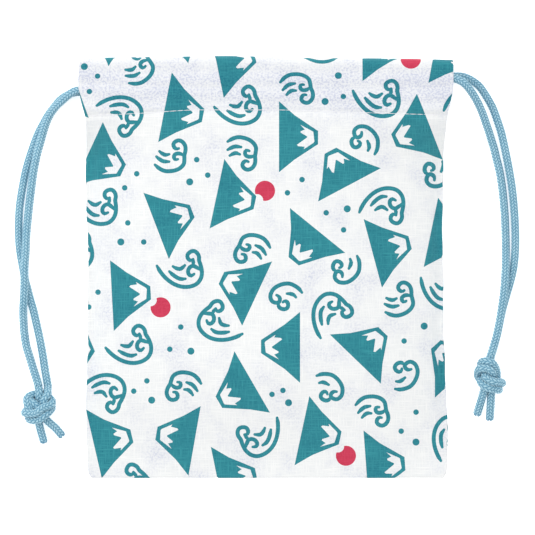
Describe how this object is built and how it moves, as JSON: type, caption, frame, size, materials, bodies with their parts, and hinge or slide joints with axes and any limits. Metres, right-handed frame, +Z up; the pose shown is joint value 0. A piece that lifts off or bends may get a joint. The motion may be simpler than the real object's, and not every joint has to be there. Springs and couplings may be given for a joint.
{
  "type": "kinchaku drawstring pouch",
  "caption": "Small flat cotton drawstring pouch with a casing along each side of its mouth and a braided cord through the casings from either side, each tied in a knot.",
  "frame": {"origin": "on the surface that the pouch lies on, under the middle of the cloth's own box, cords not counted", "axes": "+X to the pouch's right, +Y from its folded bottom to its mouth, +Z up from the surface, out of its front"},
  "size_m": [0.1802, 0.1503, 0.0146],
  "materials": {
    "printed_cotton": "plain-weave cotton sheeting, white, printed with small shapes in teal and a few in red, matt",
    "braided_cord": "soft round braid, light blue, slight sheen",
    "sewing_thread": "white spun sewing thread"
  },
  "bodies": {
    "root": {"pouch_cloth": "printed_cotton", "left_drawstring": "braided_cord", "right_drawstring": "braided_cord", "left_knot": "braided_cord", "right_knot": "braided_cord", "front_casing_thread": "sewing_thread", "back_casing_thread": "sewing_thread", "left_seam_thread": "sewing_thread", "right_seam_thread": "sewing_thread"}
  },
  "joints": []
}
